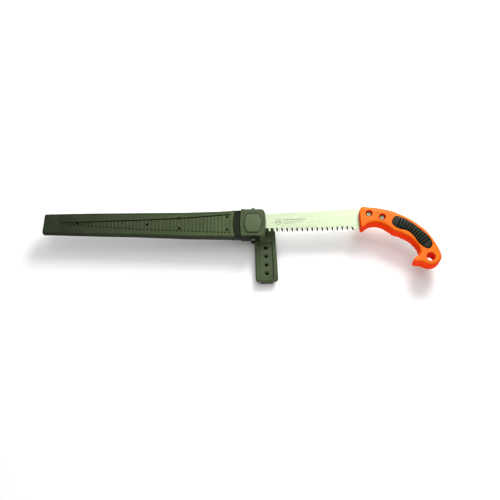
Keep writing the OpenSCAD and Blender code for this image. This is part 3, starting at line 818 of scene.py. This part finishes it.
def scabbard_shell(name, node, matrix, front):
    loop = softened(anticlockwise(shell_loop()), 2)
    normals = outward(loop)
    radius = edge_radius(loop, normals, 2.6, 2)
    rings = [inset_ring(loop, normals, 0.3, 0.0), inset_ring(loop, normals, 0.0, 0.3)]

    def ring(drop, inset):
        """Both are (share of the edge's radius, millimetres), and drop counts down from the sloping face."""
        points = drawn_in(loop, normals, [inset[0] * r + inset[1] for r in radius])
        rings.append([(x, y, shell_half(x) - (drop[0] * r + drop[1])) for (x, y), r in zip(points, radius)])
    for drop, inset in ((2.2, 0.0), (1.7, 0.55), (0.9, 0.55), (0.5, 0.05)):     # a groove under the edge
        ring((1, drop), (0, inset))
    for k in range(7):
        a = math.radians(15 * k)
        ring((1 - math.sin(a), 0), (1 - math.cos(a), 0))
    o = ring_solid(name, rings)
    combine(o, [box_solid("neck", -62, -21.4, 0, -28, 21, 8)], "UNION")

    # the hollow for the blade
    inner = anticlockwise(shell_loop(WALL, -55.0))
    cut(o, [ring_solid("hollow", [[(x, y, -1.0) for x, y in inner],
                                  [(x, y, shell_half(x) - FACE_WALL) for x, y in inner]])])
    cut(o, [box_solid("neck_way", -62, -19.4, -1, -27, 19.9, 6.0)])
    if front:
        front_details(o)
    else:
        screw_seats(o)

    # Side faces along both edges, and the floors of the pits and of the field's edge groove, take the dark
    # olive copy: painted shade.
    def choose(middle, normal):
        x, y, z = middle
        if abs(normal.z) < 0.5 and (y > lookup(x, TOP_EDGE) - 3 or y < lookup(x, LOW_EDGE) + 3):
            return 1
        in_field = front and -345 < x < -56 and lookup(x, FIELD_LOW) - 2 < y < lookup(x, FIELD_TOP) + 1.2
        return 1 if in_field and 1.25 < shell_half(x) - z < 1.97 else 0
    return settle(o, matrix, "root", [node], [OLIVE, OLIVE_SIDE_SHADE], choose=choose)


scabbard_shell("scabbard_front", "scabbard_front_shell", MOUTH, True)
scabbard_shell("scabbard_back", "scabbard_back_shell", MOUTH_BACK, False)


def waist_band():
    heights = between(-24.4, 22.4, 24)
    left = [(bow_x(WAIST_BOW, y) + 0.05, y) for y in heights]
    right = [(bow_x(CAP_BOW, y) - 0.05, y) for y in heights]
    loop = even(anticlockwise(left + right[::-1]), 1.0)
    normals = outward(loop)
    rings = []
    for z, inset in ((-9.2, 1.4), (-8.8, 0.6), (-7.8, 0.0), (7.8, 0.0), (8.8, 0.6), (9.2, 1.4)):
        points = zip(loop, normals)
        rings.append([(x - nx * inset * abs(ny), y - ny * inset, z) for (x, y), (nx, ny) in points])
    o = ring_solid("waist_ring", rings)
    cut(o, [box_solid("neck_room", -70, -21.45, -8.05, -10, 21.05, 8.05)])
    return settle(o, MOUTH, "root", ["waist_band"], [DARK])


waist_band()

# ---------- the throat
CAP_TOP = 24.0
CAP_LOW = -24.8
CAP_HALF = 13.0
MOUTH_BOW = (-94.2, 2.0, 95.0)      # middle and radius of the arc at the mouth
MOUTH_CORNER = 7.0
PIVOT_HOLE = 2.55
AXLE_X = -20.1
AXLE_Z = 7.4
ROLLER_Y = -1.9
CAP_SCREWS = [(-35, 22.4), (-35, -23), (-7, -21.1)]
PAD_LEFT = -34.6
PAD_RIGHT = -6.8
PAD_LOW = -17.8
PAD_TOP = 14.0
PAD_BOW = 32.0                # radius of its two bowed sides


def cap_loop():
    """Bowed on both sides, with two rounded corners at the mouth."""
    bow_at, bow_y, bow_r = MOUTH_BOW
    left = [(bow_x(CAP_BOW, y), y) for y in between(CAP_TOP, CAP_LOW, 28)]
    reach = bow_r - MOUTH_CORNER
    low_y, top_y = CAP_LOW + MOUTH_CORNER, CAP_TOP - MOUTH_CORNER
    low_turn, top_turn = (math.asin((y - bow_y) / reach) for y in (low_y, top_y))
    low_x, top_x = (bow_at + reach * math.cos(turn) for turn in (low_turn, top_turn))
    low_turn, top_turn = math.degrees(low_turn), math.degrees(top_turn)
    right = arc(low_x, low_y, MOUTH_CORNER, -90, low_turn, 10)
    right += arc(bow_at, bow_y, bow_r, low_turn, top_turn, 24)[1:-1]
    right += arc(top_x, top_y, MOUTH_CORNER, top_turn, 90, 10)
    return softened(even(anticlockwise(left + right), 0.6), 2)


def pad_loop(grow=0.0):
    """Outline of the pad, with straight ends and bowed sides."""
    middle = (PAD_LOW + PAD_TOP) / 2
    left, right = [], []
    for y in between(PAD_TOP + grow, PAD_LOW - grow, 16):
        bow = PAD_BOW - math.sqrt(PAD_BOW ** 2 - (y - middle) ** 2)
        left.append((PAD_LEFT - grow + bow, y))
        right.append((PAD_RIGHT + grow - bow, y))
    return anticlockwise(left + right[::-1])


def bow_strip(bow, offset, wide, y0, y1, low, high, side):
    """Cutter for a curved groove beside one of the bows, on its left (-1) or its right (1)."""
    def line(smaller):
        r = bow[2] - smaller
        return [(bow[0] + side * math.sqrt(r * r - (y - bow[1]) ** 2), y) for y in between(y0, y1, 20)]
    return prism("bow_strip", line(offset) + line(offset + wide)[::-1], low, high)


def roller_room():
    """Cutter for the room around a roller, open towards the blade."""
    r = 7.0
    profile = [(AXLE_X - r, -1), (AXLE_X + r, -1)] + arc(AXLE_X, AXLE_Z, r, 0, 180, 24)
    ends = (ROLLER_Y + 13.6, ROLLER_Y - 13.6)
    return ring_solid("roller_room", [[(x, y, z) for x, z in profile] for y in ends])


def cap_shell(name, node, matrix, front):
    loop = cap_loop()
    normals = outward(loop)
    radius = edge_radius(loop, normals, 3.0 if front else 1.2, 3)
    lip = 0.25
    rings = [inset_ring(loop, normals, 0.3, 0.0), inset_ring(loop, normals, 0.0, 0.3)]

    def ring(drop, extra_drop, share, extra):
        points = drawn_in(loop, normals, [extra + r * share for r in radius])
        rings.append([(x, y, CAP_HALF - r * drop - extra_drop) for (x, y), r in zip(points, radius)])
    ring(1, 1.8, 0, 0.0)
    ring(1, 0.0, 0, lip)
    for k in range(1, 7):
        a = math.radians(15 * k)
        ring(1 - math.sin(a), 0.0, 1 - math.cos(a), lip)
    o = ring_solid(name, rings)
    cut(o, [bow_strip(CAP_BOW, 4.6, 1.5, -20.5, 18.6, CAP_HALF - 1.2, CAP_HALF + 1, -1),
            bow_strip(MOUTH_BOW, 3.4, 1.2, -17.5, 17.0, CAP_HALF - 1.0, CAP_HALF + 1, 1)])
    if front:
        cut(o, [prism("pad_seat", pad_loop(1.1), CAP_HALF - 1.3, CAP_HALF + 2)])
    cut(o, [box_solid("neck_room", -70, -21.45, -1, -27.95, 21.05, 8.05)])
    cut(o, [roller_room()])
    cut(o, [box_solid("blade_way", -30, -18.6, -1, 12, 21.2, 3.0)])
    cut(o, [box_solid("mouth_way", -16, -18.6, -1.5, 13, 22.4, 3.01)])
    cut(o, [lathe("axle_way", [(2.05, -40), (2.05, 40)], AXLE_X, AXLE_Z, 32, "Y")])
    if not front:
        seat = [(1.5, 12.05), (1.5, 12.8), (2.0, 13.5)]
        cut(o, [lathe("screw_seat", seat, x, y, 24) for x, y in CAP_SCREWS])

    def choose(middle, normal):
        x, y, _ = middle
        # the lower side faces take the dark olive copy: painted shade
        if x < -9 and y < CAP_LOW + 1.2 and normal.z < 0.85:
            return 1
        # a band along the left bow takes the lighter pad olive: painted highlight
        return 2 if x < bow_x(CAP_BOW, y) + 3.4 and normal.z > 0.3 else 0
    return settle(o, matrix, "root", [node], [CAP, OLIVE_SIDE_SHADE, PAD_OLIVE_AND_HIGHLIGHT], choose=choose)


cap_shell("cap_front", "throat_cap_front", MOUTH, True)
cap_shell("cap_back", "throat_cap_back", MOUTH_BACK, False)


def pad(name, nodes, matrix, low):
    """Raised barrel-shaped cover over a roller, a little rounded across."""
    loop = softened(even(pad_loop(), 0.6), 2)
    normals = outward(loop)
    radius = edge_radius(loop, normals, 1.5, 2)
    cx, cy = (PAD_LEFT + PAD_RIGHT) / 2, (PAD_LOW + PAD_TOP) / 2

    def face(x, y):
        return 16.0 - 0.9 * ((y - cy) / 15.9) ** 2 - 0.35 * ((x - cx) / 13.9) ** 2
    rings = [[(x, y, low) for x, y in loop]]
    for k in range(6):
        a = math.radians(18 * k)
        points = drawn_in(loop, normals, [r * (1 - math.cos(a)) for r in radius])
        rings.append([(x, y, face(x, y) - r * (1 - math.sin(a))) for (x, y), r in zip(points, radius)])
    edge = rings[-1]
    for k in range(1, 8):
        t = 0.12 * k
        inner = [(x + (cx - x) * t, y + (cy - y) * t) for x, y, _ in edge]
        rings.append([(x, y, face(x, y)) for x, y in inner])
    o = ring_solid(name, rings)
    cut(o, [roller_room()])
    return settle(o, matrix, "root", nodes, [PAD_OLIVE_AND_HIGHLIGHT])


pad("roller_pad_front", ["roller_cover"], MOUTH, 11.9)
pad("roller_pad_back", None, MOUTH_BACK, 12.8)


def pivot_tongue():
    """Tongue behind the cap, which carries the hanger's pivot, and the block that joins it to the cap."""
    low = 15.5 - BLADE_Z
    loop = arc(PIVOT_AT[0], PIVOT_AT[1], 8.0, -90, 90, 16) + arc(-14.0, PIVOT_AT[1], 8.0, 90, 270, 16)
    loop = even(anticlockwise(loop), 1.2)
    normals = outward(loop)
    tongue = ring_solid("pivot_tongue", [
        inset_ring(loop, normals, inset, low + z)
        for z, inset in ((0, 0.6), (0.2, 0.15), (0.6, 0), (3.4, 0), (3.8, 0.15), (4.0, 0.6))])
    cut(tongue, [lathe("pivot_way", [(PIVOT_HOLE, -30), (PIVOT_HOLE, -10)], *PIVOT_AT, 32)])
    cut(tongue, [lathe("nut_room", [(5.05, low + 1.5), (5.05, low + 6)], *PIVOT_AT, 6)])
    settle(tongue, MOUTH, "root", None, [CAP])
    loop = softened(even([(-12, -5.5), (-4, -5.5), (-4, 7.5), (-12, 7.5)], 0.5), 3)
    block = prism("tongue_root", loop, low + 3.5, low + 7.5, -0.6)
    settle(block, MOUTH, "root", None, [CAP])


pivot_tongue()


def axle_ends():
    """The two roller axles, with push-on caps at their lower ends."""
    pin_profile = [(1.7, -29.3), (2.0, -29.0), (2.0, 24.0), (2.6, 24.06), (2.7, 24.3), (2.7, 26.2),
                   (2.4, 26.8), (1.7, 27.0)]
    for side, matrix in (("front", MOUTH), ("back", MOUTH_BACK)):
        pin = lathe("axle_" + side, pin_profile, AXLE_X, AXLE_Z, 32, "Y")
        settle(pin, matrix, "root", ["roller_axle_" + side], [PIN])
    sleeve = [(3.2, -25.6), (3.0, -25.0), (2.1, -24.87)]
    button = [(2.2, -30.25), (2.8, -30.0), (3.1, -29.5), (3.1, -28.9), (2.6, -28.62)]
    # painted light: the front axle's end button takes the lighter pad olive, and the back cap stays dark.
    for name, matrix, profile, material in (
            ("axle_cap_front", MOUTH, [(2.2, -28.6), (3.0, -28.4), (3.2, -27.8)] + sleeve, DARK),
            ("axle_button_front", MOUTH, button, PAD_OLIVE_AND_HIGHLIGHT),
            ("axle_cap_back", MOUTH_BACK, [(2.2, -30.25), (2.9, -30.0), (3.2, -29.4)] + sleeve, DARK)):
        end = lathe(name, profile, AXLE_X, AXLE_Z, 32, "Y")
        cut(end, [lathe("bore", [(2.04, -29.5), (2.04, -20)], AXLE_X, AXLE_Z, 32, "Y")])
        settle(end, matrix, "root", ["axle_caps"], [material])


axle_ends()

# ---------- the hanger
HANGER_LENGTH = 93.3
HANGER_HALF = 18.75
TRAY_Z = 9.0
TRAY_TOP = 15.0
FIRST_HOLE = -33.3
HOLE_PITCH = 15
HOLE_COUNT = 4


def rounded_box(x0, y0, x1, y1, r, steps):
    """Outline with round corners, from the lower left one."""
    return (arc(x0 + r, y0 + r, r, 180, 270, steps) + arc(x1 - r, y0 + r, r, 270, 360, steps)
            + arc(x1 - r, y1 - r, r, 0, 90, steps) + arc(x0 + r, y1 - r, r, 90, 180, steps))


def strap_screw_tools(profile, steps):
    return [lathe("strap_screw_way", profile, side * 6, -21.2, steps) for side in (-1, 1)]


def belt_hanger():
    """A tray with a round head, which turns on the pivot."""
    loop = (arc(0, 0, 17.2, 0, 180, 40) + arc(-HANGER_HALF + 6, 6 - HANGER_LENGTH, 6, 180, 270, 10)
            + arc(HANGER_HALF - 6, 6 - HANGER_LENGTH, 6, 270, 360, 10))
    loop = even(anticlockwise(loop), 1.0)
    normals = outward(loop)
    steps = [(TRAY_Z, 0.9), (TRAY_Z + 0.25, 0.3), (TRAY_Z + 0.9, 0.0)]
    for k in range(7):
        a = math.radians(15 * k)
        steps.append((TRAY_TOP - 3.4 * (1 - math.sin(a)), 3.9 * (1 - math.cos(a))))
    o = ring_solid("belt_hanger_tray", [inset_ring(loop, normals, inset, z) for z, inset in steps])
    tray = even(anticlockwise(rounded_box(-12, -89.3, 12, -24.4, 2.5, 6)), 1.0)
    tray_normals = outward(tray)
    steps = ((TRAY_Z + 2.0, 1.3), (TRAY_Z + 2.2, 0.7), (TRAY_Z + 2.9, 0.3),
             (TRAY_TOP - 0.6, 0.0), (TRAY_TOP - 0.15, -0.3), (TRAY_TOP + 0.4, -1.2))
    cut(o, [ring_solid("tray", [inset_ring(tray, tray_normals, inset, z) for z, inset in steps])])
    hole = [(3.1, -0.4), (2.5, 0.3), (2.5, 0.4), (4.9, 1.95), (5.2, 2.3), (6.0, 2.8)]
    hole = [(r, TRAY_Z + z) for r, z in hole]
    cut(o, [lathe("hole", hole, 0, FIRST_HOLE - HOLE_PITCH * i, 40) for i in range(HOLE_COUNT)])
    head_line = lathe("head_line", [(13.0, TRAY_TOP - 0.5), (13.2, TRAY_TOP + 1)], steps=64)
    cut(head_line, [lathe("inner", [(12.2, TRAY_TOP - 1), (12.0, TRAY_TOP + 2)], steps=64)])
    cut(o, [head_line])
    cut(o, [lathe("pivot_way", [(PIVOT_HOLE, 0), (PIVOT_HOLE, 30)], steps=32)])
    cut(o, [box_solid("hook_pocket", -8.1, -92.2, TRAY_Z - 1, 8.1, -90.5, TRAY_Z + 3.3)])
    cut(o, strap_screw_tools([(1.3, 0), (1.3, TRAY_Z + 4.5)], 24))
    return settle(o, HANG, "hanger", ["belt_hanger"], [HANGER])


def belt_strap():
    """A flat strap, drawn as its side view along the hanger, that turns up to the hanger at both ends."""
    top = TRAY_Z - 0.05
    loop = [(-18.5, 0.0), (-18.5, top), (-25.5, top), (-25.5, 4.4), (-26.9, 3.0), (-86.9, 3.0), (-88.3, 4.4),
            (-88.3, top), (-92.9, top), (-92.9, 1.6), (-91.3, 0.0)]
    loop = anticlockwise(loop)
    normals = outward(loop)
    rings = []
    for x, inset in ((-10.5, 0.5), (-10.3, 0.15), (-9.9, 0.0), (9.9, 0.0), (10.3, 0.15), (10.5, 0.5)):
        rings.append([(x, y, z) for y, z, _ in inset_ring(loop, normals, inset, 0)])
    o = ring_solid("belt_strap_loop", rings)
    cut(o, strap_screw_tools([(2.6, -1), (2.6, 2.2)], 32))
    cut(o, strap_screw_tools([(1.3, -1), (1.3, 12)], 24))
    return settle(o, HANG, "hanger", ["belt_strap"], [DARK])


belt_hanger()
belt_strap()
hook = box_solid("strap_hook", -8, -92.1, 7.5, 8, -90.6, 12)
settle(hook, HANG, "hanger", None, [DARK])

# ---------- small CAD pieces that stay as they are, with softer edges
KEPT = {                      # material and bevel of each, in millimetres
    "shell_screws": (STEEL, 0.12),
    "cap_screws": (STEEL, 0.1),
    "strap_screws": (STEEL, 0.12),
    "handle_screw": (STEEL, 0.15),
    "blade_nuts": (STEEL, 0.25),
    "hanger_pivot_bolt": (STEEL, 0.3),
    "hanger_pivot_washer": (STEEL, 0.08),
    "hanger_pivot_nut": (STEEL, 0.2),
    "roller_front_core": (PIN, 0.15),
    "roller_back_core": (PIN, 0.15),
    "roller_front_rubber": (ROLLER, 0.5),
    "roller_back_rubber": (ROLLER, 0.5)}


def soften_kept(o, material, bevel):
    o.data.materials.clear()
    o.data.materials.append(material)
    flat = o.modifiers.new("flat_faces", "DECIMATE")
    flat.decimate_type = "DISSOLVE"
    flat.angle_limit = math.radians(0.5)
    soft = o.modifiers.new("soft_edges", "BEVEL")
    soft.limit_method = "ANGLE"
    soft.angle_limit = math.radians(40)
    soft.width = bevel * 0.001
    soft.segments = 2
    soft.harden_normals = False
    evened = o.modifiers.new("even_normals", "WEIGHTED_NORMAL")
    evened.keep_sharp = True


for node, (material, bevel) in KEPT.items():
    soften_kept(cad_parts[node], material, bevel)

# ---------- floor, light and camera
def white_floor():
    look = Nodes("floor_white")
    pale = look.mix(look.ramp(look.noise(2.0), 0.3, 0.7), colour(240, 240, 240), colour(244, 244, 244))
    corners = [(-4, -4), (4, -4), (4, 4), (-4, 4)]
    floor = mesh_object("floor", [(x, y, -0.0001) for x, y in corners], [(0, 1, 2, 3)])
    floor.data.materials.append(look.finish(pale, 0.9, [(look.noise(80.0), 0.02, 0.001)], 0.0, 0.1))


def area_light(name, place, target, width, height, power):
    data = bpy.data.lights.new(name, "AREA")
    data.shape = "RECTANGLE"
    data.size = width
    data.size_y = height
    data.energy = power
    o = bpy.data.objects.new(name, data)
    o.location = place
    o.rotation_mode = "QUATERNION"
    o.rotation_quaternion = (Vector(target) - Vector(place)).to_track_quat("-Z", "Y")
    scene.collection.objects.link(o)


def soft_room(strength):
    world = bpy.data.worlds.new("soft_room")
    world.use_nodes = True
    background = world.node_tree.nodes["Background"]
    background.inputs["Color"].default_value = (1, 1, 1, 1)
    background.inputs["Strength"].default_value = strength
    scene.world = world


CAMERA_LENS = 72.315          # in millimetres, on a 36 mm wide sensor
CAMERA_DISTANCE = 1.6476      # in metres
CAMERA_TILT = 19.254          # from straight above towards the front, in degrees
CAMERA_ROLL = -0.095
CAMERA_AIM = (-25.35, -44.27, BLADE_Z)      # in millimetres, seen from the scabbard's mouth


def photo_camera():
    data = bpy.data.cameras.new("camera")
    data.sensor_width = 36.0
    data.lens = CAMERA_LENS
    camera = bpy.data.objects.new("camera", data)
    scene.collection.objects.link(camera)
    scene.camera = camera
    tilt, roll = math.radians(CAMERA_TILT), math.radians(CAMERA_ROLL)
    forward = Vector((0, math.sin(tilt), -math.cos(tilt)))
    right, up = Vector((1, 0, 0)), Vector((0, math.cos(tilt), math.sin(tilt)))
    right, up = right * math.cos(roll) + up * math.sin(roll), up * math.cos(roll) - right * math.sin(roll)
    target = Vector((CAMERA_AIM[0] - MID[0], CAMERA_AIM[1] - MID[1], CAMERA_AIM[2])) / 1000
    turn = Matrix((right, up, -forward)).transposed().to_4x4()
    camera.matrix_world = Matrix.Translation(target - forward * CAMERA_DISTANCE) @ turn


white_floor()
area_light("overhead", (0.0, 0.45, 2.0), (0.0, 0, 0), 2.2, 2.0, 23)
area_light("key", (0.45, 0.95, 0.85), (0.0, 0, 0), 0.7, 0.6, 22)
area_light("fill", (0.15, -1.5, 0.55), (0.05, 0, 0), 1.2, 0.5, 8)
soft_room(0.3)
photo_camera()
